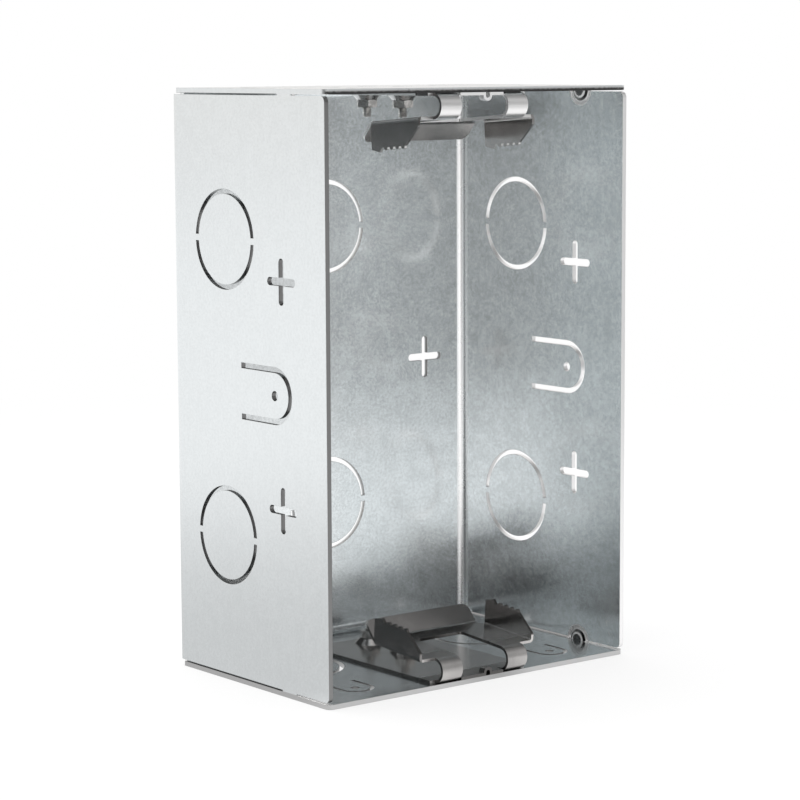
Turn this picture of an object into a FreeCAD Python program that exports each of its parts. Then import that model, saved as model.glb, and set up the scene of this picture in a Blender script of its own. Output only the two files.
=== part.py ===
"""Open-front back box of folded galvanised sheet with two spring clips.

Millimetres, +Z up. The open front faces -Y and the left wall is at -X. The origin is the
middle of the underside, with the clips' curls counted in, which stand out at the front.
Depths are measured from the front edge of the box towards the back.
"""

import FreeCAD
import Part

import math
import os

from FreeCAD import Vector

# Outer sizes of the box and its sheet
box_width = 78.0
box_height = 120.0
box_depth = 53.0
sheet = 1.0
bend_radius = 2.6
corner_radius = 1.2
seam_gap = 0.3
wall_corner_chamfer = 1.3
plate_relief_length = 2.8

# Round knockouts: a thin slot along a circle, held by two bridges
ring_radius = 9.6
ring_slot = 1.0
ring_bridge = 1.3
side_ring_depth = 33.7
wall_ring_from_end = 30.0
plate_ring_depth = 31.0
plate_ring_from_side = 14.6

# Cross-shaped fixing slots with rounded ends
cross_length = 9.2
cross_slot = 1.6
side_cross_depth = 14.5
side_cross_from_middle = 22.6
back_cross_from_side = 11.9

# U-shaped fixing tabs, each cut round on three sides, with a small hole
side_tab_radius = 5.15
side_tab_depth = 17.0
side_tab_rear = 28.3
side_tab_slot = 1.15
side_tab_hole = 2.0
plate_tab_radius = 3.4
plate_tab_depth = 8.7
plate_tab_rear = 14.2
plate_tab_slot = 0.8
plate_tab_hole = 1.8
plate_tab_from_side = 13.1

# Tack welds that join each side wall to the top and the bottom
weld_depth = 13.0
weld_radius = 2.3
weld_height = 0.6
weld_groove_radius = 3.1
weld_groove_width = 0.7
weld_groove_depth = 0.45

# Spring clip: a base, two front curls and a sprung return plate with wings and a flap
clip_sheet = 0.6
clip_base_width = 25.0
clip_rear_gap = 10.0
clip_rear_corner = 2.0
curl_radius = 2.6
curl_overhang = 1.0
curl_inner_half = 6.0
curl_outer_half = 11.2
curl_relief = 0.45
return_slope = 4.26
window_corner = 1.0
cross_bar_width = 4.0
wing_outer_half = 15.1
wing_front = 0.2
wing_length = 15.0
wing_height = 5.1
wing_peak = 0.6
wing_peak_length = 2.4
wing_shoulder_drop = 0.9
wing_front_height = 1.3
wing_slope_length = 4.4
wing_bend = 0.3
tooth_count = 4
tooth_radius = 0.58
tooth_lead = 0.35
flap_gap = 1.4
flap_half = 13.6
flap_length = 4.3
flap_angle = 45.7
flap_bend = 0.8
flap_corner = 1.7
lip_arch_radius = 1.1
lip_arch_length = 1.6
lip_arch_offset = 1.5

# Countersunk screws in dimpled holes, with hexagon nuts inside the box
screw_pitch = 12.0
screw_from_clip_rear = 4.7
screw_radius = 1.0
screw_hole_radius = 1.15
screw_head_radius = 2.27
screw_head_sink = 0.1
screw_seat_clearance = 0.03
screw_end_chamfer = 0.25
screw_end_beyond_nut = 2.0
drive_length = 2.0
drive_width = 0.45
drive_depth = 0.6
dimple_radius = 3.1
dimple_crown_radius = 2.0
dimple_rise = 1.2
nut_across_flats = 4.0
nut_thickness = 1.6
nut_chamfer = 0.3
thread_clearance = 0.03

# Places that follow from the sizes above
half_width = box_width / 2
overall_depth = box_depth + max(curl_overhang, 0)
back = overall_depth / 2
front = back - box_depth
middle_height = box_height / 2
clip_rear_depth = box_depth - sheet - clip_rear_gap
curl_depth = curl_radius - curl_overhang
rear_screw_depth = clip_rear_depth - screw_from_clip_rear
screw_depths = {"front": rear_screw_depth - screw_pitch, "rear": rear_screw_depth}
seat_radius = screw_head_radius + screw_head_sink + screw_seat_clearance
dimple_angle = math.atan2(dimple_rise, dimple_radius - dimple_crown_radius)
dimple_step = clip_sheet * math.tan(dimple_angle / 2)
nut_seat = sheet + dimple_rise + clip_sheet
screw_end = nut_seat + nut_thickness + screw_end_beyond_nut

X_AXIS = Vector(1, 0, 0)
Y_AXIS = Vector(0, 1, 0)
Z_AXIS = Vector(0, 0, 1)
ORIGIN = Vector(0, 0, 0)


def at_depth(depth):
    """Y of a point that lies so far behind the front edge."""
    return front + depth


def flat(u, v):
    """Point of a drawing in the XY plane."""
    return Vector(u, v, 0)


def upright(u, v):
    """Point of a drawing in the YZ plane."""
    return Vector(0, u, v)


def facing(u, v):
    """Point of a drawing in the XZ plane."""
    return Vector(u, 0, v)


def rounded_face(corners, place):
    """Face with straight sides; each corner is (u, v, radius) and place sets its plane."""
    starts = []
    middles = []
    ends = []
    for index, (u, v, radius) in enumerate(corners):
        corner = place(u, v)
        before = place(*corners[index - 1][:2]) - corner
        after = place(*corners[(index + 1) % len(corners)][:2]) - corner
        before.normalize()
        after.normalize()
        half = before.getAngle(after) / 2
        reach = radius / math.tan(half)
        bisector = before + after
        starts.append(corner + before * reach)
        ends.append(corner + after * reach)
        if radius > 0:
            bisector.normalize()
            middles.append(corner + bisector * (radius / math.sin(half) - radius))
        else:
            middles.append(None)
    edges = []
    for index, middle in enumerate(middles):
        if middle is not None:
            edges.append(Part.Arc(starts[index], middle, ends[index]).toShape())
        following = starts[(index + 1) % len(corners)]
        if ends[index].distanceToPoint(following) > 1e-6:
            edges.append(Part.LineSegment(ends[index], following).toShape())
    return Part.Face(Part.Wire(edges))


def sharp(points):
    """Corners without a radius."""
    return [(u, v, 0) for u, v in points]


def prism(corners, place, direction):
    """Solid made by moving a flat outline along a direction."""
    return rounded_face(corners, place).extrude(direction)


def slab(x_from, x_to, y_from, y_to, z_from, z_to):
    """Plain block between two opposite corners."""
    size = (x_to - x_from, y_to - y_from, z_to - z_from)
    return Part.makeBox(*size, Vector(x_from, y_from, z_from))


def bent_band(centre, inner, outer, start, end, place, direction):
    """Piece of bent sheet: a ring sector between two angles in degrees."""

    def on_ring(radius, angle):
        turn = math.radians(angle)
        return place(centre[0] + radius * math.cos(turn), centre[1] + radius * math.sin(turn))

    half_turn = (start + end) / 2
    outer_arc = Part.Arc(*[on_ring(outer, a) for a in (start, half_turn, end)]).toShape()
    inner_arc = Part.Arc(*[on_ring(inner, a) for a in (end, half_turn, start)]).toShape()
    first = Part.LineSegment(on_ring(outer, end), on_ring(inner, end)).toShape()
    last = Part.LineSegment(on_ring(inner, start), on_ring(outer, start)).toShape()
    return Part.Face(Part.Wire([outer_arc, first, inner_arc, last])).extrude(direction)


def turned(profile, x, y):
    """Solid of revolution about an upright axis; the profile holds (radius, height)."""
    solid = rounded_face(sharp(profile), facing).revolve(ORIGIN, Z_AXIS, 360)
    return solid.translated(Vector(x, y, 0))


def joined(shapes):
    """One solid out of several that touch or overlap."""
    return shapes[0].fuse(shapes[1:]).removeSplitter()


def both_ends(cutter):
    """A shape of the lower half and its mirror image in the upper half."""
    return [cutter, cutter.mirror(Vector(0, 0, middle_height), Z_AXIS)]


def both_sides(cutter):
    """A shape of the right half and its mirror image in the left half."""
    return [cutter, cutter.mirror(ORIGIN, X_AXIS)]


def ring_cutter(depth):
    """Knockout slot lying in the XY plane, with its bridges along X."""
    outer = Part.makeCylinder(ring_radius + ring_slot / 2, depth)
    inner = Part.makeCylinder(ring_radius - ring_slot / 2, depth)
    reach = ring_radius + ring_slot
    bridge = slab(-reach, reach, -ring_bridge / 2, ring_bridge / 2, 0, depth)
    return outer.cut(inner).cut(bridge)


def cross_cutter(depth):
    """Cross slot with rounded ends, lying in the XY plane."""
    long = cross_length / 2
    thin = cross_slot / 2
    arm = [(-long, -thin, thin), (long, -thin, thin), (long, thin, thin), (-long, thin, thin)]
    other = [(-v, u, radius) for u, v, radius in arm]
    up = Vector(0, 0, depth)
    return prism(arm, flat, up).fuse(prism(other, flat, up))


def tab_cutter(radius, slot, legs, hole, depth):
    """U-shaped slot in the XY plane, its round end towards -X, with the tab's small hole."""
    outer = radius + slot / 2
    inner = radius - slot / 2
    disc = Part.makeCylinder(outer, depth).fuse(slab(0, legs, -outer, outer, 0, depth))
    core = Part.makeCylinder(inner, depth).fuse(slab(0, legs, -inner, inner, 0, depth))
    return disc.cut(core).fuse(Part.makeCylinder(hole / 2, depth))


def on_side_wall(cutter, depth, height):
    """Turn a flat cutter so that it goes through the right wall, its +X towards the back."""
    stood = cutter.copy()
    stood.rotate(ORIGIN, Z_AXIS, 90)
    stood.rotate(ORIGIN, Y_AXIS, 90)
    stood.translate(Vector(half_width - 2 * sheet, at_depth(depth), height))
    return stood


def on_back_wall(cutter, x, height):
    """Turn a flat cutter so that it goes through the back wall."""
    stood = cutter.copy()
    stood.rotate(ORIGIN, X_AXIS, 90)
    stood.translate(Vector(x, back + sheet, height))
    return stood


def on_plate(cutter, x, depth):
    """Turn a flat cutter so that it goes through the bottom, its +X towards the back."""
    laid = cutter.copy()
    laid.rotate(ORIGIN, Z_AXIS, 90)
    laid.translate(Vector(x, at_depth(depth), -sheet))
    return laid


def wall_channel():
    """Left wall, back wall and right wall as one bent strip."""
    inner = bend_radius - sheet
    strip = sheet + seam_gap
    corners = [
        (-half_width, front, 0),
        (-half_width, back, bend_radius),
        (half_width, back, bend_radius),
        (half_width, front, 0),
        (half_width - sheet, front, 0),
        (half_width - sheet, back - sheet, inner),
        (-half_width + sheet, back - sheet, inner),
        (-half_width + sheet, front, 0),
    ]
    channel = prism(corners, flat, Vector(0, 0, box_height - 2 * strip))
    channel.translate(Vector(0, 0, strip))
    cut = wall_corner_chamfer
    side = [
        (front, strip, corner_radius),
        (back - cut, strip, 0),
        (back, strip + cut, 0),
        (back, box_height - strip - cut, 0),
        (back - cut, box_height - strip, 0),
        (front, box_height - strip, corner_radius),
    ]
    outline = prism(side, upright, Vector(box_width, 0, 0))
    return channel.common(outline.translated(Vector(-half_width, 0, 0)))


def plate_channel():
    """Bottom, back and top as one strip bent the other way, with relief at its corners."""
    inner = bend_radius - sheet
    corners = [
        (front, 0, 0),
        (back, 0, bend_radius),
        (back, box_height, bend_radius),
        (front, box_height, 0),
        (front, box_height - sheet, 0),
        (back - sheet, box_height - sheet, inner),
        (back - sheet, sheet, inner),
        (front, sheet, 0),
    ]
    channel = prism(corners, upright, Vector(box_width, 0, 0))
    channel.translate(Vector(-half_width, 0, 0))
    shoulder = half_width - bend_radius
    relief = back - plate_relief_length
    outline = [
        (-half_width, front, corner_radius),
        (half_width, front, corner_radius),
        (half_width, relief, 0),
        (shoulder, relief, 0),
        (shoulder, back, 0),
        (-shoulder, back, 0),
        (-shoulder, relief, 0),
        (-half_width, relief, 0),
    ]
    return channel.common(prism(outline, flat, Vector(0, 0, box_height)))


def tack_weld():
    """Weld that closes the seam under the right wall, domed towards the inside."""
    inner_face = half_width - sheet
    seam_top = sheet + seam_gap
    y = at_depth(weld_depth)
    fill = slab(inner_face, half_width, y - weld_radius, y + weld_radius, sheet, seam_top)
    ball_radius = (weld_radius**2 + weld_height**2) / (2 * weld_height)
    centre = Vector(inner_face - weld_height + ball_radius, y, sheet)
    ball = Part.makeSphere(ball_radius, centre)
    zone = slab(
        inner_face - weld_height,
        inner_face + sheet / 2,
        y - weld_radius,
        y + weld_radius,
        sheet,
        sheet + weld_radius,
    )
    return fill.fuse(ball.common(zone))


def weld_groove():
    """Shallow half-round groove in the inner face of the right wall, round the weld."""
    start = Vector(half_width - sheet, at_depth(weld_depth), sheet)
    outer = Part.makeCylinder(weld_groove_radius, weld_groove_depth, start, X_AXIS)
    inner_radius = weld_groove_radius - weld_groove_width
    inner = Part.makeCylinder(inner_radius, weld_groove_depth, start, X_AXIS)
    ring = outer.cut(inner)
    reach = weld_groove_radius + sheet
    upper = slab(
        start.x,
        start.x + weld_groove_depth,
        start.y - reach,
        start.y + reach,
        sheet + seam_gap,
        sheet + reach,
    )
    return ring.common(upper)


def plate_dimple(y):
    """Raised seat in the bottom round a screw hole, countersunk from outside."""
    profile = [
        (seat_radius, 0),
        (dimple_radius, 0),
        (dimple_radius, sheet),
        (dimple_crown_radius, sheet + dimple_rise),
        (screw_hole_radius, sheet + dimple_rise),
        (screw_hole_radius, seat_radius - screw_hole_radius),
    ]
    return turned(profile, 0, y)


def box_openings():
    """Every slot and hole that is cut through the sheet."""
    through = 3 * sheet
    ring = ring_cutter(through)
    cross = cross_cutter(through)
    side_legs = side_tab_rear - side_tab_depth
    side_tab = tab_cutter(side_tab_radius, side_tab_slot, side_legs, side_tab_hole, through)
    plate_legs = plate_tab_rear - plate_tab_depth
    plate_tab = tab_cutter(
        plate_tab_radius, plate_tab_slot, plate_legs, plate_tab_hole, through
    )
    cross_height = middle_height - side_cross_from_middle
    plate_ring_x = half_width - plate_ring_from_side
    plate_tab_x = half_width - plate_tab_from_side
    side = both_ends(on_side_wall(ring, side_ring_depth, wall_ring_from_end))
    side += both_ends(on_side_wall(cross, side_cross_depth, cross_height))
    side.append(on_side_wall(side_tab, side_tab_depth, middle_height))
    side += both_ends(on_plate(ring, plate_ring_x, plate_ring_depth))
    side += both_ends(on_plate(plate_tab, plate_tab_x, plate_tab_depth))
    side += both_ends(weld_groove())
    side.append(on_back_wall(cross, half_width - back_cross_from_side, middle_height))
    cuts = [one for cutter in side for one in both_sides(cutter)]
    cuts += both_ends(on_back_wall(ring, 0, wall_ring_from_end))
    for depth in screw_depths.values():
        start = Vector(0, at_depth(depth), -sheet)
        cuts += both_ends(Part.makeCylinder(dimple_radius, through, start))
    return cuts


def box_shell():
    """Folded box with its slots, welds and dimpled screw seats."""
    shell = joined([wall_channel(), plate_channel()]).cut(box_openings())
    extras = [one for weld in both_ends(tack_weld()) for one in both_sides(weld)]
    for depth in screw_depths.values():
        extras += both_ends(plate_dimple(at_depth(depth)))
    return joined([shell] + extras)


def clip_base():
    """Flat foot of the clip, with a lip between the curls and a small arch on it."""
    half = clip_base_width / 2
    top = sheet + clip_sheet
    start = at_depth(curl_depth)
    rear = at_depth(clip_rear_depth)
    outline = [
        (-half, start, 0),
        (half, start, 0),
        (half, rear, clip_rear_corner),
        (-half, rear, clip_rear_corner),
    ]
    foot = prism(outline, flat, Vector(0, 0, clip_sheet)).translated(Vector(0, 0, sheet))
    lip_half = curl_inner_half - curl_relief
    lip = slab(-lip_half, lip_half, front, start, sheet, top)
    relief = slab(lip_half, curl_inner_half, start, start + curl_relief, sheet, top)
    foot = foot.fuse([lip, half_round(lip_arch_radius, top)])
    hollow_radius = lip_arch_radius - clip_sheet
    left = lip_arch_offset - hollow_radius
    right = lip_arch_offset + hollow_radius
    under_arch = slab(left, right, front, front + lip_arch_length, sheet, top)
    foot = foot.cut([under_arch, half_round(hollow_radius, top)] + both_sides(relief))
    for depth in screw_depths.values():
        seat = Vector(0, at_depth(depth), sheet)
        foot = foot.cut(Part.makeCylinder(dimple_radius + dimple_step, clip_sheet, seat))
        foot = foot.fuse(clip_dimple(at_depth(depth)))
    return foot


def half_round(radius, height):
    """Upper half of a short bar that lies along the lip's arch."""
    centre = Vector(lip_arch_offset, front, height)
    bar = Part.makeCylinder(radius, lip_arch_length, centre, Y_AXIS)
    left = lip_arch_offset - radius
    right = lip_arch_offset + radius
    upper = slab(left, right, front, front + lip_arch_length, height, height + radius)
    return bar.common(upper)


def clip_dimple(y):
    """Raised seat in the clip's base that nests over the seat in the box."""
    profile = [
        (dimple_radius, sheet),
        (dimple_radius + dimple_step, sheet),
        (dimple_radius + dimple_step, sheet + clip_sheet),
        (dimple_crown_radius + dimple_step, nut_seat),
        (screw_hole_radius, nut_seat),
        (screw_hole_radius, sheet + dimple_rise),
        (dimple_crown_radius, sheet + dimple_rise),
    ]
    return turned(profile, 0, y)


def clip_curls():
    """Two curls that turn the sheet back over the base at the front."""
    centre = (at_depth(curl_depth), sheet + curl_radius)
    inner = curl_radius - clip_sheet
    width = Vector(curl_outer_half - curl_inner_half, 0, 0)
    band = bent_band(centre, inner, curl_radius, 90 + return_slope, 270, upright, width)
    return both_sides(band.translated(Vector(curl_inner_half, 0, 0)))


def wing():
    """Upright wing along the right edge of the return plate, with a toothed top."""
    inner_face = wing_outer_half - clip_sheet
    rear = wing_front + wing_length
    peak = rear - wing_peak_length
    teeth_height = wing_height + wing_peak - wing_shoulder_drop
    teeth_rear = peak - wing_shoulder_drop
    teeth_front = wing_front + wing_slope_length
    outline = [
        (wing_front, wing_bend),
        (rear, wing_bend),
        (rear, wing_height),
        (peak, wing_height + wing_peak),
        (teeth_rear, teeth_height),
        (teeth_front, teeth_height),
        (wing_front, wing_front_height),
    ]
    blade = prism(sharp(outline), upright, Vector(clip_sheet, 0, 0))
    blade.translate(Vector(inner_face, 0, 0))
    pitch = (teeth_rear - teeth_front) / tooth_count
    teeth = []
    for index in range(tooth_count):
        place = Vector(inner_face, teeth_front + (index + tooth_lead) * pitch, teeth_height)
        teeth.append(Part.makeCylinder(tooth_radius, clip_sheet, place, X_AXIS))
    bend_centre = (inner_face - wing_bend, wing_bend)
    outer_bend = wing_bend + clip_sheet
    run = Vector(0, wing_length, 0)
    bend = bent_band(bend_centre, wing_bend, outer_bend, -90, 0, facing, run)
    return blade.fuse(teeth + [bend.translated(Vector(0, wing_front, 0))])


def return_outline():
    """Flat outline of the return plate, open at the front between its two arms."""
    plate_half = wing_outer_half - clip_sheet - wing_bend
    rear = wing_front + wing_length
    fold = rear + flap_gap
    window_rear = fold - cross_bar_width
    right = [
        (curl_inner_half, window_rear, window_corner),
        (curl_inner_half, 0, 0),
        (curl_outer_half, 0, 0),
        (curl_outer_half, wing_front, 0),
        (plate_half, wing_front, 0),
        (plate_half, rear, 0),
        (flap_half, rear, 0),
        (flap_half, fold, 0),
    ]
    return right + [(-u, v, radius) for u, v, radius in reversed(right)]


def flap():
    """Wide lip bent up behind the return plate's cross bar."""
    fold = wing_front + wing_length + flap_gap
    outer = flap_bend + clip_sheet
    width = Vector(2 * flap_half, 0, 0)
    centre = (fold, flap_bend)
    bend = bent_band(centre, flap_bend, outer, -90, flap_angle - 90, upright, width)
    outline = [
        (-flap_half, 0, 0),
        (flap_half, 0, 0),
        (flap_half, flap_length, flap_corner),
        (-flap_half, flap_length, flap_corner),
    ]
    blade = prism(outline, flat, Vector(0, 0, -clip_sheet))
    blade.translate(Vector(0, 0, -flap_bend))
    blade.rotate(ORIGIN, X_AXIS, flap_angle)
    blade.translate(Vector(0, fold, flap_bend))
    return bend.translated(Vector(-flap_half, 0, 0)).fuse(blade)


def return_plate():
    """Sprung part of the clip, drawn flat and then tilted onto the ends of the curls."""
    plate = prism(return_outline(), flat, Vector(0, 0, -clip_sheet))
    sprung = plate.fuse(both_sides(wing()) + [flap()])
    slope = math.radians(return_slope)
    sprung.rotate(ORIGIN, X_AXIS, return_slope)
    y = at_depth(curl_depth) - curl_radius * math.sin(slope)
    z = sheet + curl_radius + curl_radius * math.cos(slope)
    return sprung.translated(Vector(0, y, z))


def spring_clip():
    """Whole lower spring clip as one piece of bent spring steel."""
    return joined([clip_base(), return_plate()] + clip_curls())


def screw(y):
    """Countersunk screw through the bottom, with its head outside."""
    cone = screw_head_radius - screw_radius
    profile = [
        (0, screw_head_sink),
        (screw_head_radius, screw_head_sink),
        (screw_radius, screw_head_sink + cone),
        (screw_radius, screw_end - screw_end_chamfer),
        (screw_radius - screw_end_chamfer, screw_end),
        (0, screw_end),
    ]
    long = drive_length / 2
    thin = drive_width / 2
    top = screw_head_sink + drive_depth
    arms = [
        slab(-long, long, y - thin, y + thin, 0, top),
        slab(-thin, thin, y - long, y + long, 0, top),
    ]
    return turned(profile, 0, y).cut(arms)


def nut(y):
    """Hexagon nut with chamfered corners, seated on the clip's dimple."""
    corner = nut_across_flats / math.sqrt(3)
    points = [(corner * math.cos(a), corner * math.sin(a)) for a in six_angles()]
    block = prism(sharp(points), flat, Vector(0, 0, nut_thickness))
    bore = screw_radius + thread_clearance
    trim = [
        (bore, 0),
        (corner - nut_chamfer, 0),
        (corner, nut_chamfer / 2),
        (corner, nut_thickness - nut_chamfer / 2),
        (corner - nut_chamfer, nut_thickness),
        (bore, nut_thickness),
    ]
    return block.common(turned(trim, 0, 0)).translated(Vector(0, y, nut_seat))


def six_angles():
    """Directions of a hexagon's corners."""
    return [math.radians(60 * index) for index in range(6)]


def save(name, shape):
    """Write one named piece."""
    solids = shape.Solids
    piece = solids[0] if len(solids) == 1 else shape
    piece.exportStep("parts/" + name + ".step")
    print(name, "solids", len(solids), "valid", shape.isValid(), "mm3", round(shape.Volume, 2))


def main():
    os.makedirs("parts", exist_ok=True)
    save("box_shell", box_shell())
    lower, upper = both_ends(spring_clip())
    save("bottom_spring_clip", lower)
    save("top_spring_clip", upper)
    for place, depth in screw_depths.items():
        y = at_depth(depth)
        for end, piece in zip(("bottom", "top"), both_ends(screw(y))):
            save(end + "_" + place + "_screw", piece)
        for end, piece in zip(("bottom", "top"), both_ends(nut(y))):
            save(end + "_" + place + "_nut", piece)


main()
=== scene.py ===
"""Looks of an open-front electrical back box of galvanised sheet with two spring clips."""

import math

import bmesh
import bpy
from mathutils import Matrix, Vector


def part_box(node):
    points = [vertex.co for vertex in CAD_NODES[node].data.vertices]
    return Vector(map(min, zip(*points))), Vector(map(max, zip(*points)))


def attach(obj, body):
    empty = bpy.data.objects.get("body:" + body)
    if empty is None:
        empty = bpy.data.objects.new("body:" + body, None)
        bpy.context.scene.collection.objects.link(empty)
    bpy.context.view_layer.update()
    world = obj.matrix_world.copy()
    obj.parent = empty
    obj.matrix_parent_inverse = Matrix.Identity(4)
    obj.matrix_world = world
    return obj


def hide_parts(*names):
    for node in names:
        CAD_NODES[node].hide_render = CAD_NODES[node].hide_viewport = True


bl_info = {
    "name": "Back Box Looks",
    "version": (1, 0, 0),
    "blender": (4, 5, 0),
    "location": "View3D > Sidebar > Back Box",
    "description": "Finishes a galvanised back box, its spring clips and its screws",
    "category": "Object",
}

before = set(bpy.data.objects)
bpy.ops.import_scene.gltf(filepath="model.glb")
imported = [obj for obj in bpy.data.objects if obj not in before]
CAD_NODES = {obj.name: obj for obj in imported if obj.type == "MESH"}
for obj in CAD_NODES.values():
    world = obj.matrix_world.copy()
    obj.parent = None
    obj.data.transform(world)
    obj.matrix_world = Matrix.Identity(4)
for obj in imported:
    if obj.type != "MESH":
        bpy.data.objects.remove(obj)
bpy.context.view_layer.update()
SCREWS = [name for name in sorted(CAD_NODES) if name.endswith("_screw")]
NUTS = [name for name in sorted(CAD_NODES) if name.endswith("_nut")]
CLIPS = [name for name in sorted(CAD_NODES) if name.endswith("_clip")]

MM = 0.001
WHITE = (1, 1, 1)
BLACK = (0, 0, 0)
BEVEL_RAYS = 4

# How squarely a face looks along an axis, from 0 to 1, where it counts as a side or an end of
# a strip, or as not looking that way at all.
SIDE_FACING, END_FACING, NOT_FACING = 0.7, 0.85, 0.5

# The folded box, in millimetres. x and y are 0 in its middle, and z is 0 under its lower plate.
HALF_WIDTH = 39.0
HALF_HEIGHT = 60.0
BACK = 27.0
SHEET = 1.0
FOLD_INSIDE = 1.6
FOLD_OUTSIDE = FOLD_INSIDE + SHEET

# How far a mask reaches past a face, and how far in from the ends the painted highlight and the
# painted shade on the side walls' cut edges start, in millimetres.
HAIR = 0.05
END_RIM = 1.5

# The tack welds, in millimetres: their place, two rings round each, painted white as highlights,
# with their half widths, how far they show into the sheet, and the joint that they close, in from
# the plate's outside.
WELD_Y = -13.0
WELD_HALF_LENGTH = 2.5
OUTER_RING, OUTER_RING_HALF = 2.8, 0.5
INNER_RING, INNER_RING_HALF = 1.5, 0.22
WELD_SPREAD = 0.7
BEAD_HALF = 0.6
JOINT_LOW, JOINT_HIGH = 0.95, 1.31
JOINT_SLACK = 0.02

# The spring clips, in millimetres: the half widths of the strip, its curls, the gap between them
# and the wings, the y where the curls begin, their least distance from the box's middle height,
# and the slanting line along the foot of the teeth.
STRIP_HALF = 14.3
CURL_HALF = 14.2
GAP_HALF = 5.9
CURL_GAP_HALF = 6.0
LEFT_WING = -14.4
WING_HALF = 14.45
CURL_START = -21.0
CURL_BACK = -20.0
CURL_SIDE_START = -20.5
CURL_REACH = 50.0
TEETH_SLOPE, TEETH_FOOT = 0.0745, 9.1

# Patterns of the zinc: sizes in millimetres, what each pattern or mask adds to the tone, the
# relief and the roughness, and the spans of a reading over which something comes in.
CLOUD_SIZE = 26
STREAK_SIZE, STREAK_STRETCH = 0.9, (1, 1, 0.03)
ZINC_TONE = {"grain": 0.6, "streak": 0.05, "mottle": 0.25, "cloud": 0.1}
ZINC_RELIEF = {"grain": 0.9, "streak": 0.1, "mottle": 0.15}
ZINC_ROUGH = {"mottle": 0.06, "grain": 0.06, "edge": 0.12, "weld_highlight": 0.6, "fold_highlight": 0.1}
BEAD_RELIEF = 12.0
WELD_HIGHLIGHT_DULLING = 0.8
ZINC_SPAN = (0.4, 0.6)
INSIDE_SPAN = (0.3, 0.7)
TORN_SPAN, TORN_GRAIN = (0.3, 0.8), 0.5
# Span over which the painted shade on the inner part of the upper plate's front edge comes in.
TOP_PLATE_EDGE_SHADE_SPAN = (0.85, 1.15)

# Patterns of the spring steel and of the plating, in the same way.
LINE_SIZE, LINE_STRETCH = 0.35, (1, 0.05, 0.3)
STEEL_STAIN_SIZE, STEEL_SPAN = 3.5, (0.35, 0.65)
SPECK_SIZE, SPECK_SPAN = 0.5, (0.62, 0.7)
STEEL_TONE = {"stain": 0.7, "lines": 0.3}
STEEL_ROUGH = {"stain": 0.04, "lines": 0.04, "curl": 0.17, "pale": 0.3}
# Shares of the dark specks, of the painted light on the upper clip's curls and of the painted
# shade on the clips' left wings.
SPECK_SHARE, UPPER_CURL_HIGHLIGHT, LEFT_WING_SHADE = 0.2, 0.7, 0.55
TURNED_SIZE, TURNED_STRETCH, TURNED_ROUGH = 0.4, (0.4, 0.4, 3), 0.12
PLATING_STAIN_SIZE, PLATING_SPAN = 1.2, (0.38, 0.62)

# Points around a screw, rows of them to a turn of its thread, and the flat of its head.
TURN_STEPS = 32
THREAD_STEPS = 6
HEAD_FLAT_SHARE = 0.25

# Zones of the floor as the metal mirrors it, in metres: where each begins and is full, and how
# far its edge slants.
FRONT_ZONE = (-0.01, -0.04)
LEFT_ZONE = (0.01, -0.01)
MIDDLE_ZONE, MIDDLE_SLANT = (-0.002, -0.015), 0.7
AHEAD_ZONE, AHEAD_SLANT = (-0.02, -0.05), 0.6

# Levels of those zones. Each row is a smooth step over the distance from the box's middle, in
# metres: where it starts and ends, and what it adds at its start and at its end.
REAR_STEPS = (0.06, 0.35, 0.72, 1.04), (0.8, 3.0, 0.0, -0.12)
FRONT_STEPS = (0.28, 0.38, 1.18, 0.72), (0.8, 1.15, 0.0, 0.26)
LEFT_STEPS = (0.27, 0.42, 0.98, 0.44), (0.8, 1.2, 0.0, 0.42), (1.8, 2.4, 0.0, -0.45)
MIDDLE_STEP = (0.8, 1.8, 0.46, 0.64)
AHEAD_STEP = (0.3, 0.6, 1.15, 1.0)
FLOOR_DROP = 0.05 * MM
FLOOR_WHITE = 0.86
BLEACH_SPAN, BLEACH_NEAR = (0.15, 0.45), 0.8

# Levels of the room round the box, and where in its directions they come in and go out.
ROOM_LEFT, ROOM_RIGHT, ROOM_SPAN = 0.12, 0.24, (-0.4, 0.5)
LOW_BAND, LOW_BAND_IN, LOW_BAND_OUT = 0.2, (0.02, 0.1), (0.45, 0.25)
PANEL, PANEL_SLANT, PANEL_IN, PANEL_OUT = 0.6, 0.916, (0.0, 0.03), (0.75, 0.5)
ROOM_TOP, ROOM_TOP_SPAN = 0.8, (0.86, 0.97)
BEHIND_COLOUR, BEHIND_SPAN = (0.935, 0.92, 0.905), (0.0, 0.4)

# Lamps, in metres, and the card close behind the right cross slot of the back, which keeps the
# side wall from mirroring the white that would show through the slot.
BOX_MIDDLE = (0, 0, HALF_HEIGHT * MM)
OVERHEAD_PLACE, OVERHEAD_SIZE = (-0.2, 0.1, 1.3), (1.4, 1.4)
FRONT_PLACE, FRONT_SIZE = (0.0, -0.6, 0.06), (0.74, 0.12)
CARD_SIZE, CARD_LEVEL = 0.013, 0.42
CARD_PLACE, CARD_FACING = (0.0271, 0.0285, 0.06), (0.0271, 0.0, 0.06)


class Reading:
    """A shader socket that sums can be written with in Python."""

    def __init__(self, shade, socket):
        self.shade = shade
        self.socket = socket

    def __add__(self, other):
        return self.shade.maths("ADD", self, other)

    def __radd__(self, other):
        return self.shade.maths("ADD", other, self)

    def __sub__(self, other):
        return self.shade.maths("SUBTRACT", self, other)

    def __rsub__(self, other):
        return self.shade.maths("SUBTRACT", other, self)

    def __mul__(self, other):
        return self.shade.maths("MULTIPLY", self, other)

    def __rmul__(self, other):
        return self.shade.maths("MULTIPLY", other, self)

    def __gt__(self, limit):
        return self.shade.maths("GREATER_THAN", self, limit)

    def __lt__(self, limit):
        return self.shade.maths("LESS_THAN", self, limit)

    def __abs__(self):
        return self.shade.maths("ABSOLUTE", self)


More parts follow.
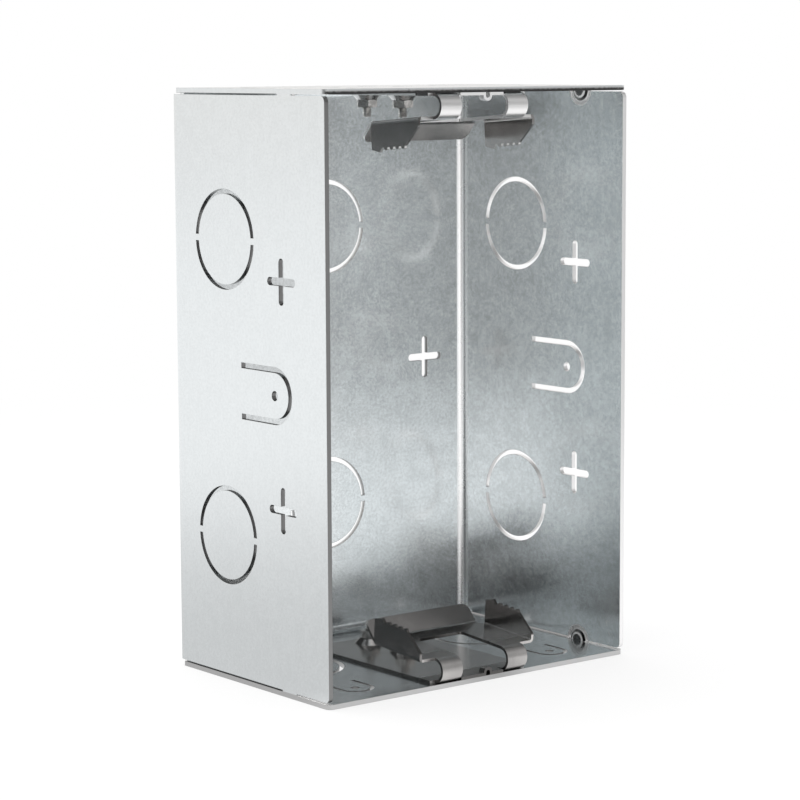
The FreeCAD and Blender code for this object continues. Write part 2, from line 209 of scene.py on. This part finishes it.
class Shade:
    """Node tree of one finish or of the world, filled by plain calls."""

    def __init__(self, tree):
        self.tree = tree
        tree.nodes.clear()

    def node(self, kind, settings=None, sockets=None):
        """Make a node: its settings come first, then a value or a reading for each socket."""
        made = self.tree.nodes.new(kind)
        for name, value in (settings or {}).items():
            setattr(made, name, value)
        for name, value in (sockets or {}).items():
            if isinstance(value, Reading):
                self.tree.links.new(value.socket, made.inputs[name])
            else:
                made.inputs[name].default_value = value
        return made

    def read(self, kind, settings=None, sockets=None, output=0):
        """Make a node and read one of its outputs."""
        made = self.node(kind, settings, sockets)
        return Reading(self, made.outputs[output])

    def maths(self, operation, *values):
        """Math node on numbers and readings."""
        return self.read("ShaderNodeMath", {"operation": operation}, dict(enumerate(values)))

    def either(self, first, second):
        """The larger of two masks."""
        return self.maths("MAXIMUM", first, second)

    def nearest(self, first, *others):
        """The smallest of some distances."""
        for other in others:
            first = self.maths("MINIMUM", first, other)
        return first

    def millimetres(self):
        """Place on the object, in millimetres."""
        place = self.read("ShaderNodeTexCoord", output="Object")
        return self.read("ShaderNodeVectorMath", {"operation": "SCALE"}, {0: place, "Scale": 1000})

    def stretched(self, place, scale):
        """The same place with each axis scaled."""
        return self.read("ShaderNodeVectorMath", {"operation": "MULTIPLY"}, {0: place, 1: scale})

    def parts(self, vector):
        """X, Y and Z of a vector."""
        split = self.node("ShaderNodeSeparateXYZ", sockets={0: vector})
        return [Reading(self, socket) for socket in split.outputs]

    def joined(self, x, y, z):
        """Vector or colour made of three numbers or readings."""
        return self.read("ShaderNodeCombineXYZ", sockets={0: x, 1: y, 2: z})

    def length(self, vector):
        """Length of a vector."""
        length = {"operation": "LENGTH"}
        return self.read("ShaderNodeVectorMath", length, {0: vector}, output="Value")

    def facing(self):
        """How squarely the face looks along x, y and z, each from 0 to 1."""
        normal = self.read("ShaderNodeNewGeometry", output="True Normal")
        return [abs(part) for part in self.parts(normal)]

    def noise(self, place, size, detail=2.0, roughness=0.5):
        """Cloudy noise with spots of about that many millimetres."""
        sockets = {"Vector": place, "Scale": 1 / size, "Detail": detail, "Roughness": roughness}
        return self.read("ShaderNodeTexNoise", {"noise_dimensions": "3D"}, sockets)

    def between(self, value, low, high, to_low=0.0, to_high=1.0):
        """Smooth step of a reading from one range to another."""
        sockets = {
            "Value": value,
            "From Min": low,
            "From Max": high,
            "To Min": to_low,
            "To Max": to_high,
        }
        return self.read("ShaderNodeMapRange", {"interpolation_type": "SMOOTHSTEP"}, sockets)

    def stepped(self, value, first, *others):
        """Sum of smooth steps of a reading, each a row of the four numbers of between."""
        total = self.between(value, *first)
        for row in others:
            total = total + self.between(value, *row)
        return total

    def blend(self, share, first, second):
        """Colour that goes from the first to the second with the share."""
        sockets = {0: share, 6: first, 7: second}
        return self.read("ShaderNodeMix", {"data_type": "RGBA"}, sockets, output=2)

    def tinted(self, share, colour, darkest, palest):
        """Colour that goes from a darker to a paler tint of itself with the share."""
        return self.blend(share, tint(colour, darkest), tint(colour, palest))

    def metal(self, colour, roughness, relief, look, metallic=1.0):
        """Metal surface with rounded edges and a fine relief, led to the output."""
        rounding = {"Radius": look.edge_rounding}
        bump = {"Strength": 1.0, "Distance": look.relief_height, "Height": relief}
        bump["Normal"] = self.read("ShaderNodeBevel", {"samples": BEVEL_RAYS}, rounding)
        sockets = {"Base Color": colour, "Roughness": roughness, "Metallic": metallic}
        sockets["Normal"] = self.read("ShaderNodeBump", sockets=bump)
        self.end(self.read("ShaderNodeBsdfPrincipled", sockets=sockets))

    def glow(self, colour):
        """Surface that shows one colour, whatever the lamps do."""
        return self.read("ShaderNodeEmission", sockets={"Color": colour, "Strength": 1.0})

    def mixed(self, share, first, second):
        """Surface that goes from the first to the second with the share."""
        return self.read("ShaderNodeMixShader", sockets={0: share, 1: first, 2: second})

    def end(self, surface, output="ShaderNodeOutputMaterial"):
        """Lead a surface to the output."""
        self.node(output, sockets={0: surface})


def new_finish(name):
    """Material with an empty node tree."""
    material = bpy.data.materials.new(name)
    material.use_nodes = True
    return material, Shade(material.node_tree)


def tint(colour, factor=1):
    """RGBA of a colour made lighter or darker."""
    return (*[channel * factor for channel in colour], 1)


def weighed(readings, shares):
    """Sum of named readings, each times its share."""
    first, *others = [readings[name] * share for name, share in shares.items()]
    return sum(others, first)


def dress(node, material):
    """Give a CAD node its material in every slot."""
    slots = CAD_NODES[node].material_slots
    for slot in slots:
        slot.material = material
    if not slots:
        CAD_NODES[node].data.materials.append(material)


def inward(x, y, z):
    """Distances in from the nearer end, from the nearer side and from the back of the box."""
    return HALF_HEIGHT - abs(z - HALF_HEIGHT), HALF_WIDTH - abs(x), BACK - y


def cut_edge_masks(shade, place):
    """1 on the cut edges, how far in a point is, 1 on the side walls' edges and on the plates'."""
    from_end, from_side, from_back = inward(*shade.parts(place))
    across_x, across_y, across_z = [part < NOT_FACING for part in shade.facing()]
    skin = SHEET + HAIR
    past_skin = skin + HAIR
    past_fold = FOLD_OUTSIDE + 2 * HAIR
    side = (from_side < skin) * (from_end > past_skin) * (from_back > past_fold) * across_x
    rear = (from_back < skin) * (from_side > past_fold) * (from_end > past_fold) * across_y
    plate = (from_end < skin) * (from_back > past_fold) * across_z
    wall = side * (from_end > END_RIM)
    depth = shade.nearest(from_side, from_back, from_end)
    return shade.either(shade.either(side, rear), plate), depth, wall, plate


def weld_masks(shade, place):
    """1 on the welds' painted highlights, on their dull middles, in the seams and on the beads."""
    x, y, z = shade.parts(place)
    from_end, _, _ = inward(x, y, z)
    wall = HALF_WIDTH - SHEET
    inside = abs(abs(x) - wall) < WELD_SPREAD
    reach = shade.length(shade.joined(y - WELD_Y, from_end - SHEET, 0.0))
    outer = abs(reach - OUTER_RING) < OUTER_RING_HALF
    inner = abs(reach - INNER_RING) < INNER_RING_HALF
    middle = inside * (reach < WELD_HALF_LENGTH)
    bead = inside * shade.between(abs(reach - OUTER_RING), BEAD_HALF, 0.0)
    joint = (abs(x) > wall - JOINT_SLACK) * (from_end > JOINT_LOW) * (from_end < JOINT_HIGH)
    # The joint in front of each weld gets a painted highlight; the seam behind it stays dark.
    tail = joint * (y < WELD_Y - WELD_HALF_LENGTH)
    seam = joint * (y > WELD_Y + WELD_HALF_LENGTH)
    return shade.either(inside * shade.either(outer, inner), tail), middle, seam, bead


def fold_highlight_mask(shade, place):
    """1 on the inside of the two upright folds at the back, where a highlight is painted."""
    x, y, _ = shade.parts(place)
    beyond_x = abs(x) - (HALF_WIDTH - FOLD_OUTSIDE)
    beyond_y = y - (BACK - FOLD_OUTSIDE)
    reach = shade.length(shade.joined(beyond_x, beyond_y, 0.0))
    return (beyond_x > 0.0) * (beyond_y > 0.0) * (reach < FOLD_INSIDE + SHEET / 2)


def zinc_finish(look):
    """Galvanised sheet: mottled semi-bright zinc with rolling streaks and dull cut edges."""
    material, shade = new_finish("galvanised_sheet")
    place = shade.millimetres()
    x, _, z = shade.parts(place)
    drawn = shade.stretched(place, STREAK_STRETCH)
    grain = shade.noise(place, look.grain_size / MM, detail=4, roughness=0.7)
    edge, depth, wall, plate = cut_edge_masks(shade, place)
    weld_highlight, middle, seam, bead = weld_masks(shade, place)
    fold_highlight = fold_highlight_mask(shade, place)
    readings = {
        "grain": grain,
        "mottle": shade.noise(place, look.mottle_size / MM, detail=3, roughness=0.6),
        "cloud": shade.noise(place, CLOUD_SIZE),
        "streak": shade.noise(drawn, STREAK_SIZE, detail=3, roughness=0.6),
        "edge": edge,
        "weld_highlight": weld_highlight,
        "fold_highlight": fold_highlight,
    }
    coarse = shade.between(depth, *INSIDE_SPAN, to_low=look.outside_grain)
    tone = shade.between(weighed(readings, ZINC_TONE), *ZINC_SPAN)
    tone = 0.5 + (tone - 0.5) * coarse
    sheet = shade.tinted(tone, look.zinc_colour, darkest=0.88, palest=1.08)
    speckle = shade.between(grain, *ZINC_SPAN)
    cut = shade.tinted(speckle, look.cut_colour, darkest=0.75, palest=1.15)
    torn = edge * shade.between(depth + grain * TORN_GRAIN, *TORN_SPAN)
    # Painted shade on the inner part of the upper plate's front cut edge.
    top_plate_edge_shade = plate * (z > HALF_HEIGHT) * shade.between(depth + grain, *TOP_PLATE_EDGE_SHADE_SPAN)
    colour = shade.blend(torn, sheet, cut)
    for share, over in (
        # Painted highlight on the right side wall's cut edges, painted shade on the left wall's.
        (wall * (x > 0), tint(WHITE, 0.85)),
        (wall * (x < 0), tint(look.cut_colour, 0.55)),
        # Painted light on the lower plate's front edge, painted shade on the upper plate's.
        (plate * (z < HALF_HEIGHT), tint(look.cut_colour, 1.3)),
        (top_plate_edge_shade, tint(look.cut_colour, 0.15)),
        (shade.either(seam, middle), tint(look.cut_colour, 0.3)),
        # Painted highlights on the weld rings, on the joints in front of the welds and in the back
        # folds.
        (shade.either(weld_highlight, fold_highlight), tint(WHITE)),
    ):
        colour = shade.blend(share, colour, over)
    rough = look.roughness + weighed(readings, ZINC_ROUGH)
    relief = weighed(readings, ZINC_RELIEF) * coarse + bead * BEAD_RELIEF
    shade.metal(colour, rough, relief, look, metallic=1.0 - weld_highlight * WELD_HIGHLIGHT_DULLING)
    return material


def spring_edge_masks(shade, place):
    """1 where a face of a clip is the cut edge of its strip, and of its wings."""
    x, y, z = shade.parts(place)
    from_end, _, _ = inward(x, y, z)
    facing_x, facing_y, _ = shade.facing()
    sides = (facing_x > SIDE_FACING) * (abs(x) < STRIP_HALF)
    ends = (facing_y > END_FACING) * shade.either(abs(x) < GAP_HALF, y > CURL_BACK)
    teeth = from_end > y * TEETH_SLOPE + TEETH_FOOT
    wings = (abs(x) > WING_HALF) * (facing_x < NOT_FACING) * teeth
    return shade.either(sides, ends), wings


def spring_finish(look):
    """Dark polished spring steel with fine rolling lines along the strip."""
    material, shade = new_finish("spring_steel")
    place = shade.millimetres()
    x, y, z = shade.parts(place)
    upper = z > HALF_HEIGHT
    drawn = shade.stretched(place, LINE_STRETCH)
    lines = shade.noise(drawn, LINE_SIZE, detail=3, roughness=0.6)
    speck = shade.between(shade.noise(place, SPECK_SIZE), *SPECK_SPAN)
    edge, wing_edge = spring_edge_masks(shade, place)
    curl = (y < CURL_START) * (abs(x) < CURL_HALF) * (abs(z - HALF_HEIGHT) > CURL_REACH)
    curl_side = (y < CURL_SIDE_START) * (abs(x) > CURL_GAP_HALF)
    # Painted highlight on the upper clip's cut edges, but for the sides of its curls.
    pale = edge * upper * (1 - curl_side)
    stain = shade.noise(place, STEEL_STAIN_SIZE, detail=3)
    readings = {"stain": stain, "lines": lines, "curl": curl, "pale": pale}
    tone = shade.between(weighed(readings, STEEL_TONE), *STEEL_SPAN)
    colour = shade.tinted(tone, look.steel_colour, darkest=0.93, palest=1.05)
    for share, over in (
        (speck * SPECK_SHARE, tint(look.steel_colour, 0.5)),
        # Painted light on the upper clip's curls.
        (curl * upper * UPPER_CURL_HIGHLIGHT, tint(WHITE)),
        # Painted shade on the clips' left wings.
        ((x < LEFT_WING) * LEFT_WING_SHADE, tint(BLACK)),
        (shade.either(edge, wing_edge), tint(look.steel_colour, 0.3)),
        # Painted highlights on the upper clip's cut edges and on its wing edges.
        (pale, tint(WHITE)),
        (wing_edge * upper, tint(WHITE, 0.6)),
    ):
        colour = shade.blend(share, colour, over)
    shade.metal(colour, look.roughness + weighed(readings, STEEL_ROUGH), lines + speck, look)
    return material


def fastener_finish(look):
    """Bright zinc plating with fine turning marks and darker stains."""
    material, shade = new_finish("zinc_fastener")
    place = shade.millimetres()
    turned = shade.noise(shade.stretched(place, TURNED_STRETCH), TURNED_SIZE, detail=3)
    stain = shade.noise(place, PLATING_STAIN_SIZE, detail=3)
    tone = shade.between(stain, *PLATING_SPAN)
    colour = shade.tinted(tone, look.plating_colour, darkest=0.7, palest=1.08)
    shade.metal(colour, look.roughness + turned * TURNED_ROUGH, turned, look)
    return material


class SheetLook(bpy.types.PropertyGroup):
    """Finish of the folded sheet."""

    zinc_colour: bpy.props.FloatVectorProperty(
        name="Zinc colour",
        description="Colour of the galvanised faces",
        subtype="COLOR",
        size=3,
        min=0,
        max=1,
        default=(0.81, 0.84, 0.85),
    )
    cut_colour: bpy.props.FloatVectorProperty(
        name="Cut edge colour",
        description="Colour of bare steel on the cut edges",
        subtype="COLOR",
        size=3,
        min=0,
        max=1,
        default=(0.42, 0.42, 0.42),
    )
    roughness: bpy.props.FloatProperty(
        name="Roughness",
        description="Least roughness of the zinc",
        subtype="FACTOR",
        min=0,
        max=1,
        default=0.12,
    )
    grain_size: bpy.props.FloatProperty(
        name="Grain size",
        description="Size of the fine zinc grain",
        unit="LENGTH",
        default=0.65 * MM,
    )
    mottle_size: bpy.props.FloatProperty(
        name="Mottle size",
        description="Size of the soft light and dark patches",
        unit="LENGTH",
        default=3.0 * MM,
    )
    outside_grain: bpy.props.FloatProperty(
        name="Outside grain",
        description="Share of the grain that the smoother outside faces keep",
        subtype="FACTOR",
        min=0,
        max=1,
        default=0.3,
    )
    relief_height: bpy.props.FloatProperty(
        name="Grain height",
        description="Height of the fine grain",
        unit="LENGTH",
        default=0.01 * MM,
    )
    edge_rounding: bpy.props.FloatProperty(
        name="Edge rounding",
        description="Width of the shaded rounding on sharp edges",
        unit="LENGTH",
        default=0.14 * MM,
    )


class ClipLook(bpy.types.PropertyGroup):
    """Finish of the spring clips."""

    steel_colour: bpy.props.FloatVectorProperty(
        name="Steel colour",
        description="Colour of the spring steel",
        subtype="COLOR",
        size=3,
        min=0,
        max=1,
        default=(0.53, 0.515, 0.505),
    )
    roughness: bpy.props.FloatProperty(
        name="Roughness",
        description="Least roughness of the steel",
        subtype="FACTOR",
        min=0,
        max=1,
        default=0.13,
    )
    relief_height: bpy.props.FloatProperty(
        name="Line height",
        description="Height of the fine rolling lines",
        unit="LENGTH",
        default=0.002 * MM,
    )
    edge_rounding: bpy.props.FloatProperty(
        name="Edge rounding",
        description="Width of the shaded rounding on sharp edges",
        unit="LENGTH",
        default=0.06 * MM,
    )


class FastenerLook(bpy.types.PropertyGroup):
    """Finish, heads and thread of the screws, and finish of the nuts."""

    plating_colour: bpy.props.FloatVectorProperty(
        name="Plating colour",
        description="Colour of the zinc plating",
        subtype="COLOR",
        size=3,
        min=0,
        max=1,
        default=(0.74, 0.73, 0.71),
    )
    roughness: bpy.props.FloatProperty(
        name="Roughness",
        description="Least roughness of the plating",
        subtype="FACTOR",
        min=0,
        max=1,
        default=0.18,
    )
    head_radius: bpy.props.FloatProperty(
        name="Head radius",
        description="Radius of the countersunk heads",
        unit="LENGTH",
        default=2.27 * MM,
    )
    head_sink: bpy.props.FloatProperty(
        name="Head sink",
        description="Depth of the heads below the outside of the box",
        unit="LENGTH",
        default=0.1 * MM,
    )
    recess_length: bpy.props.FloatProperty(
        name="Recess length",
        description="Length of each bar of the cross recess",
        unit="LENGTH",
        default=2.0 * MM,
    )
    recess_width: bpy.props.FloatProperty(
        name="Recess width",
        description="Width of each bar of the cross recess",
        unit="LENGTH",
        default=0.45 * MM,
    )
    recess_depth: bpy.props.FloatProperty(
        name="Recess depth",
        description="Depth of the cross recess",
        unit="LENGTH",
        default=0.6 * MM,
    )
    thread_radius: bpy.props.FloatProperty(
        name="Thread radius",
        description="Radius of the screws over the crests of the thread",
        unit="LENGTH",
        default=1.0 * MM,
    )
    thread_pitch: bpy.props.FloatProperty(
        name="Thread pitch",
        description="Distance from one thread crest to the next",
        unit="LENGTH",
        default=0.4 * MM,
    )
    thread_depth: bpy.props.FloatProperty(
        name="Thread depth",
        description="Depth of the thread below its crest",
        unit="LENGTH",
        default=0.2 * MM,
    )
    relief_height: bpy.props.FloatProperty(
        name="Turning mark height",
        description="Height of the fine turning marks",
        unit="LENGTH",
        default=0.005 * MM,
    )
    edge_rounding: bpy.props.FloatProperty(
        name="Edge rounding",
        description="Width of the shaded rounding on sharp edges",
        unit="LENGTH",
        default=0.08 * MM,
    )


class StageLook(bpy.types.PropertyGroup):
    """Camera, floor and lamps."""

    camera_place: bpy.props.FloatVectorProperty(
        name="Camera place",
        description="Where the camera stands",
        subtype="TRANSLATION",
        unit="LENGTH",
        size=3,
        default=(-0.34007, -0.42914, 0.12581),
    )
    camera_turn: bpy.props.FloatProperty(
        name="Camera turn",
        description="Turn of the view from straight ahead towards the right",
        subtype="ANGLE",
        default=math.radians(38.354),
    )
    camera_dip: bpy.props.FloatProperty(
        name="Camera dip",
        description="How far the view points below the horizon",
        subtype="ANGLE",
        default=math.radians(7.36),
    )
    camera_roll: bpy.props.FloatProperty(
        name="Camera roll",
        description="Small lean of the view",
        subtype="ANGLE",
        default=math.radians(-0.267),
    )
    lens: bpy.props.FloatProperty(
        name="Lens", description="Focal length in millimetres", min=1, default=119.215
    )
    floor_size: bpy.props.FloatProperty(
        name="Floor size", description="Width of the floor", unit="LENGTH", default=6.0
    )
    key_power: bpy.props.FloatProperty(
        name="Key lamp", description="Power of the overhead soft lamp", unit="POWER", default=22.0
    )
    front_power: bpy.props.FloatProperty(
        name="Front lamp", description="Power of the soft lamp in front", unit="POWER", default=0.2
    )


class BACKBOX_OT_finish_sheet(bpy.types.Operator):
    """Give the folded box its galvanised finish"""

    bl_idname = "backbox.finish_sheet"
    bl_label = "Finish the Sheet"

    def execute(self, context):
        dress("box_shell", zinc_finish(context.scene.backbox_sheet))
        return {"FINISHED"}


class BACKBOX_OT_finish_clips(bpy.types.Operator):
    """Give both spring clips their dark steel finish"""

    bl_idname = "backbox.finish_clips"
    bl_label = "Finish the Clips"

    def execute(self, context):
        material = spring_finish(context.scene.backbox_clip)
        for node in CLIPS:
            dress(node, material)
        return {"FINISHED"}


def thread_rings(look, length):
    """Rings of points from a screw's head to its tip, each point a radius and a height."""
    crest, start, head = look.thread_radius, look.head_sink, look.head_radius
    shoulder = start + head - crest
    rows = [
        [(radius, height)] * TURN_STEPS
        for radius, height in ((crest * HEAD_FLAT_SHARE, start), (head, start), (crest, shoulder))
    ]
    step = look.thread_pitch / THREAD_STEPS
    for row in range(1, int((length - shoulder) / step)):
        height = shoulder + row * step
        fade = min(1.0, (length - height) / look.thread_pitch, row / THREAD_STEPS)
        tip = max(0.0, look.thread_depth - (length - height))
        ring = []
        for turn in range(TURN_STEPS):
            phase = (height / look.thread_pitch - turn / TURN_STEPS) % 1.0
            groove = 1 - abs(2 * phase - 1)
            ring.append((crest - look.thread_depth * groove * fade - tip, height))
        rows.append(ring)
    rows.append([(crest - look.thread_depth, length)] * TURN_STEPS)
    return rows


def skin_object(name, levels):
    """Closed object whose skin runs through levels of points, as many on each."""
    build = bmesh.new()
    rings = [[build.verts.new(point) for point in level] for level in levels]
    for lower, upper in zip(rings, rings[1:]):
        for turn in range(len(lower)):
            after = (turn + 1) % len(lower)
            build.faces.new((lower[turn], lower[after], upper[after], upper[turn]))
    build.faces.new(rings[-1])
    build.faces.new(list(reversed(rings[0])))
    bmesh.ops.recalc_face_normals(build, faces=build.faces)
    return link_mesh(name, build)


def link_mesh(name, build):
    """Object of a finished mesh, put in the scene."""
    mesh = bpy.data.meshes.new(name)
    build.to_mesh(mesh)
    build.free()
    made = bpy.data.objects.new(name, mesh)
    bpy.context.scene.collection.objects.link(made)
    return made


def press_recess(screw, look):
    """Cut the cross recess into the head of a screw that stands on it."""
    arm = look.recess_length / 2
    half = look.recess_width / 2
    outline = []
    along, sideways = Vector((1, 0, 0)), Vector((0, 1, 0))
    for _ in range(4):
        outline += [along * a + sideways * b for a, b in ((arm, -half), (arm, half), (half, half))]
        along, sideways = sideways, -along
    top = Vector((0, 0, look.head_sink + look.recess_depth))
    cross = skin_object("recess", [[p - top for p in outline], [p + top for p in outline]])
    cut = screw.modifiers.new("recess", "BOOLEAN")
    cut.operation = "DIFFERENCE"
    cut.solver = "EXACT"
    cut.object = cross
    finished = screw.evaluated_get(bpy.context.evaluated_depsgraph_get())
    screw.data = bpy.data.meshes.new_from_object(finished)
    screw.modifiers.clear()
    bpy.data.objects.remove(cross)


def threaded_screw(name, look):
    """Countersunk screw with a real thread, in the place of its plain CAD node."""
    low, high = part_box(name)
    upside_down = low[2] > HALF_HEIGHT * MM
    foot = 2 * HALF_HEIGHT * MM if upside_down else 0
    levels = []
    for ring in thread_rings(look, high[2] - low[2] + look.head_sink):
        level = []
        for turn, (radius, height) in enumerate(ring):
            angle = math.tau * turn / TURN_STEPS
            level.append((radius * math.cos(angle), radius * math.sin(angle), height))
        levels.append(level)
    made = skin_object(name + "_threaded", levels)
    press_recess(made, look)
    made.location = ((low[0] + high[0]) / 2, (low[1] + high[1]) / 2, foot)
    made.rotation_euler = (math.pi if upside_down else 0, 0, 0)
    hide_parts(name)
    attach(made, "root")
    return made


class BACKBOX_OT_finish_fasteners(bpy.types.Operator):
    """Thread the screws and give them and the nuts their plated finish"""

    bl_idname = "backbox.finish_fasteners"
    bl_label = "Finish the Screws and Nuts"

    def execute(self, context):
        look = context.scene.backbox_fastener
        material = fastener_finish(look)
        for node in NUTS:
            dress(node, material)
        for node in SCREWS:
            threaded_screw(node, look).data.materials.append(material)
        return {"FINISHED"}


def turned_to(place, target, forward):
    """Turn that points an axis of something at a place towards a target."""
    return (Vector(target) - Vector(place)).to_track_quat(forward, "Y").to_euler()


def stage_sheet(name, size, place, material, facing=None):
    """Square of the stage that lies flat, or faces a point."""
    build = bmesh.new()
    bmesh.ops.create_grid(build, x_segments=1, y_segments=1, size=size / 2)
    made = link_mesh(name, build)
    made.location = place
    if facing is not None:
        made.rotation_euler = turned_to(place, facing, "Z")
    made.data.materials.append(material)
    return made


def soft_lamp(name, place, size, power):
    """Rectangular lamp aimed at the middle of the box, which the camera doesn't see."""
    lamp = bpy.data.lights.new(name, "AREA")
    lamp.shape = "RECTANGLE"
    lamp.size, lamp.size_y = size
    lamp.energy = power
    made = bpy.data.objects.new(name, lamp)
    made.location = place
    made.rotation_euler = turned_to(place, BOX_MIDDLE, "-Z")
    made.visible_camera = False
    bpy.context.scene.collection.objects.link(made)
    return made


def floor_glow(shade, place, reach):
    """Level of the floor in the box's mirrors, from the zones in front of it and behind it."""
    x, y, _ = shade.parts(place)
    front = shade.between(y, *FRONT_ZONE)
    leftward = shade.between(x, *LEFT_ZONE)
    middle = shade.between(x + y * MIDDLE_SLANT, *MIDDLE_ZONE) - leftward
    ahead = shade.between(abs(x) + y * AHEAD_SLANT, *AHEAD_ZONE)
    left_change = leftward * (shade.stepped(reach, *LEFT_STEPS) - 1.0)
    middle_loss = middle * shade.between(reach, *MIDDLE_STEP)
    front_level = shade.stepped(reach, *FRONT_STEPS) * (1.0 + left_change - middle_loss)
    ahead_level = shade.between(reach, *AHEAD_STEP)
    front_level = front_level + ahead * (ahead_level - front_level)
    return front * front_level + (1.0 - front) * shade.stepped(reach, *REAR_STEPS)


def floor_finish():
    """Pale floor: white to the camera but for a faint shadow, and in zones to the mirrors."""
    material, shade = new_finish("pale_floor")
    rays = shade.node("ShaderNodeLightPath")
    seen = Reading(shade, rays.outputs["Is Camera Ray"])
    mirrored = Reading(shade, rays.outputs["Is Glossy Ray"])
    place = shade.read("ShaderNodeNewGeometry", output="Position")
    reach = shade.length(place)
    level = floor_glow(shade, place, reach)
    diffuse = shade.read("ShaderNodeBsdfDiffuse", sockets={"Color": tint(WHITE, FLOOR_WHITE)})
    plain = shade.mixed(mirrored, diffuse, shade.glow(shade.joined(level, level, level)))
    bleached = seen * shade.between(reach, *BLEACH_SPAN, to_low=BLEACH_NEAR)
    shade.end(shade.mixed(bleached, plain, shade.glow(tint(WHITE))))
    return material


def card_finish():
    """Even grey card."""
    material, shade = new_finish("card_grey")
    shade.end(shade.glow(tint(WHITE, CARD_LEVEL)))
    return material


def world_light():
    """Studio surroundings: white to the camera and behind the box, a dim room in front of it."""
    world = bpy.data.worlds.new("studio")
    world.use_nodes = True
    bpy.context.scene.world = world
    shade = Shade(world.node_tree)
    seen = shade.read("ShaderNodeLightPath", output="Is Camera Ray")
    x, y, z = shade.parts(shade.read("ShaderNodeTexCoord", output="Generated"))
    low_band = shade.between(z, *LOW_BAND_IN) * shade.between(z, *LOW_BAND_OUT)
    left = ROOM_LEFT + low_band * LOW_BAND
    panel = shade.between(x + y * PANEL_SLANT, *PANEL_IN) * shade.between(z, *PANEL_OUT)
    level = left + shade.between(x, *ROOM_SPAN) * (ROOM_RIGHT - left) + panel * PANEL
    room = shade.joined(level, level, level)
    for share, over in (
        (shade.between(z, *ROOM_TOP_SPAN), tint(WHITE, ROOM_TOP)),
        (shade.between(y, *BEHIND_SPAN), tint(BEHIND_COLOUR)),
        (seen, tint(WHITE)),
    ):
        room = shade.blend(share, room, over)
    light = shade.read("ShaderNodeBackground", sockets={"Color": room, "Strength": 1.0})
    shade.end(light, "ShaderNodeOutputWorld")


def aim_camera(look):
    """Camera that stands where the photograph was taken from."""
    turn, dip, roll = look.camera_turn, look.camera_dip, look.camera_roll
    ahead = Vector(
        (math.sin(turn) * math.cos(dip), math.cos(turn) * math.cos(dip), -math.sin(dip))
    )
    level = Vector((math.cos(turn), -math.sin(turn), 0))
    upright = level.cross(ahead)
    right = level * math.cos(roll) + upright * math.sin(roll)
    up = upright * math.cos(roll) - level * math.sin(roll)
    data = bpy.data.cameras.new("camera")
    data.sensor_width = 36
    data.lens = look.lens
    data.clip_start = 0.01
    data.clip_end = 50
    camera = bpy.data.objects.new("camera", data)
    turned = Matrix((right, up, -ahead)).transposed().to_4x4()
    camera.matrix_world = Matrix.Translation(look.camera_place) @ turned
    bpy.context.scene.collection.objects.link(camera)
    bpy.context.scene.camera = camera


class BACKBOX_OT_build_stage(bpy.types.Operator):
    """Add the floor, the surroundings, the lamps and the camera"""

    bl_idname = "backbox.build_stage"
    bl_label = "Build the Stage"

    def execute(self, context):
        look = context.scene.backbox_stage
        context.scene.view_settings.view_transform = "Standard"
        stage_sheet("floor", look.floor_size, (0, 0, -FLOOR_DROP), floor_finish())
        card = stage_sheet("grey_card", CARD_SIZE, CARD_PLACE, card_finish(), CARD_FACING)
        card.visible_camera = False
        card.visible_diffuse = False
        card.visible_shadow = False
        world_light()
        overhead = soft_lamp("overhead", OVERHEAD_PLACE, OVERHEAD_SIZE, look.key_power)
        overhead.visible_glossy = False
        soft_lamp("front", FRONT_PLACE, FRONT_SIZE, look.front_power)
        aim_camera(look)
        return {"FINISHED"}


class BACKBOX_PT_looks(bpy.types.Panel):
    """Panel that lists the sizes, the colours and the steps"""

    bl_idname = "BACKBOX_PT_looks"
    bl_label = "Back Box"
    bl_space_type = "VIEW_3D"
    bl_region_type = "UI"
    bl_category = "Back Box"

    def draw(self, context):
        for group, step in GROUPS:
            held = getattr(context.scene, group)
            box = self.layout.box()
            for name in held.bl_rna.properties.keys():
                if name not in ("rna_type", "name"):
                    box.prop(held, name)
            box.operator("backbox." + step)


GROUPS = (
    ("backbox_sheet", "finish_sheet"),
    ("backbox_clip", "finish_clips"),
    ("backbox_fastener", "finish_fasteners"),
    ("backbox_stage", "build_stage"),
)
LOOKS = (SheetLook, ClipLook, FastenerLook, StageLook)
CLASSES = LOOKS + (
    BACKBOX_OT_finish_sheet,
    BACKBOX_OT_finish_clips,
    BACKBOX_OT_finish_fasteners,
    BACKBOX_OT_build_stage,
    BACKBOX_PT_looks,
)


def register():
    for one in CLASSES:
        bpy.utils.register_class(one)
    for look, (group, _) in zip(LOOKS, GROUPS):
        setattr(bpy.types.Scene, group, bpy.props.PointerProperty(type=look))


def unregister():
    for group, _ in GROUPS:
        delattr(bpy.types.Scene, group)
    for one in reversed(CLASSES):
        bpy.utils.unregister_class(one)


def main():
    register()
    for _, step in GROUPS:
        getattr(bpy.ops.backbox, step)()


if __name__ == "__main__":
    main()
